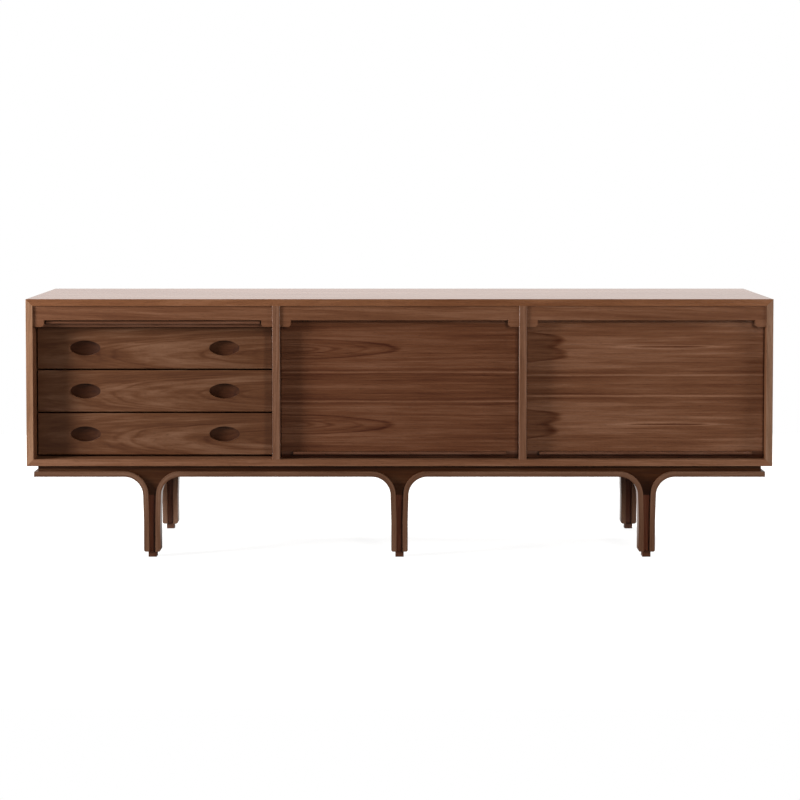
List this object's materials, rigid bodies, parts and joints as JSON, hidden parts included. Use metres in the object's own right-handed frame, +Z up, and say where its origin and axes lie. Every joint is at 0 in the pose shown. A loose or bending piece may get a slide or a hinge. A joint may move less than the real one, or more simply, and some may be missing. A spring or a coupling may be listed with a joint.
{
  "type": "sideboard",
  "caption": "Long low walnut sideboard with roll-up slatted doors, a bay of drawers with scooped pulls, and a base of bent wood strips.",
  "frame": {"origin": "on the floor under the middle of the sideboard", "axes": "+X to the right as seen from the front, +Y to the back, +Z up"},
  "size_m": [2.3, 0.46, 0.8],
  "materials": {
    "case_veneer": "walnut veneer, satin lacquer",
    "back_veneer": "walnut veneer, satin lacquer",
    "fascia_veneer": "walnut veneer, satin lacquer",
    "inner_veneer": "walnut veneer, satin lacquer",
    "slat_veneer": "walnut veneer on narrow slats, satin lacquer",
    "rail_walnut": "solid walnut, satin lacquer",
    "drawer_veneer": "walnut, satin lacquer",
    "drawer_box_maple": "clear lacquered maple",
    "runner_maple": "waxed maple",
    "strip_walnut": "bent walnut laminate, satin lacquer",
    "core_walnut": "solid walnut, satin lacquer",
    "backing_linen": "plain woven linen, bonded",
    "pin_steel": "zinc plated steel"
  },
  "bodies": {
    "case": {"top_panel": "case_veneer", "bottom_panel": "case_veneer", "left_side": "case_veneer", "right_side": "case_veneer", "left_divider": "case_veneer", "right_divider": "case_veneer", "left_back_panel": "back_veneer", "centre_back_panel": "back_veneer", "right_back_panel": "back_veneer", "left_fascia": "fascia_veneer", "centre_fascia": "fascia_veneer", "right_fascia": "fascia_veneer", "left_sub_top": "inner_veneer", "centre_sub_top": "inner_veneer", "right_sub_top": "inner_veneer", "centre_shelf": "inner_veneer", "right_shelf": "inner_veneer", "shelf_pins": "pin_steel", "drawer_runners": "runner_maple", "left_door_slats": "slat_veneer", "left_door_backing": "backing_linen", "centre_door_slats": "slat_veneer", "centre_door_backing": "backing_linen", "right_door_slats": "slat_veneer", "right_door_backing": "backing_linen", "front_left_end_strip": "strip_walnut", "front_left_arch": "strip_walnut", "front_right_arch": "strip_walnut", "front_right_end_strip": "strip_walnut", "rear_left_end_strip": "strip_walnut", "rear_left_arch": "strip_walnut", "rear_right_arch": "strip_walnut", "rear_right_end_strip": "strip_walnut", "front_neck_rail": "core_walnut", "rear_neck_rail": "core_walnut", "leg_cores": "core_walnut", "leg_webs": "core_walnut", "end_rails": "strip_walnut", "cross_rails": "core_walnut", "feet": "core_walnut"},
    "left_door": {"left_lead_rail": "rail_walnut"},
    "centre_door": {"centre_lead_rail": "rail_walnut"},
    "right_door": {"right_lead_rail": "rail_walnut"},
    "bottom_drawer": {"bottom_drawer_front": "drawer_veneer", "bottom_drawer_left_side": "drawer_box_maple", "bottom_drawer_right_side": "drawer_box_maple", "bottom_drawer_back": "drawer_box_maple", "bottom_drawer_base": "drawer_box_maple"},
    "middle_drawer": {"middle_drawer_front": "drawer_veneer", "middle_drawer_left_side": "drawer_box_maple", "middle_drawer_right_side": "drawer_box_maple", "middle_drawer_back": "drawer_box_maple", "middle_drawer_base": "drawer_box_maple"},
    "top_drawer": {"top_drawer_front": "drawer_veneer", "top_drawer_left_side": "drawer_box_maple", "top_drawer_right_side": "drawer_box_maple", "top_drawer_back": "drawer_box_maple", "top_drawer_base": "drawer_box_maple"}
  },
  "joints": [
    {"name": "left_door_slide", "type": "slide", "parent": "case", "child": "left_door", "axis": [0, 0, 1], "range_m": [-0.405, 0], "deforming": ["left_door_slats", "left_door_backing"]},
    {"name": "centre_door_slide", "type": "slide", "parent": "case", "child": "centre_door", "axis": [0, 0, 1], "range_m": [0, 0.405], "deforming": ["centre_door_slats", "centre_door_backing"]},
    {"name": "right_door_slide", "type": "slide", "parent": "case", "child": "right_door", "axis": [0, 0, 1], "range_m": [0, 0.405], "deforming": ["right_door_slats", "right_door_backing"]},
    {"name": "bottom_drawer_slide", "type": "slide", "parent": "case", "child": "bottom_drawer", "axis": [0, -1, 0], "range_m": [0, 0.27]},
    {"name": "middle_drawer_slide", "type": "slide", "parent": "case", "child": "middle_drawer", "axis": [0, -1, 0], "range_m": [0, 0.27]},
    {"name": "top_drawer_slide", "type": "slide", "parent": "case", "child": "top_drawer", "axis": [0, -1, 0], "range_m": [0, 0.27]}
  ]
}
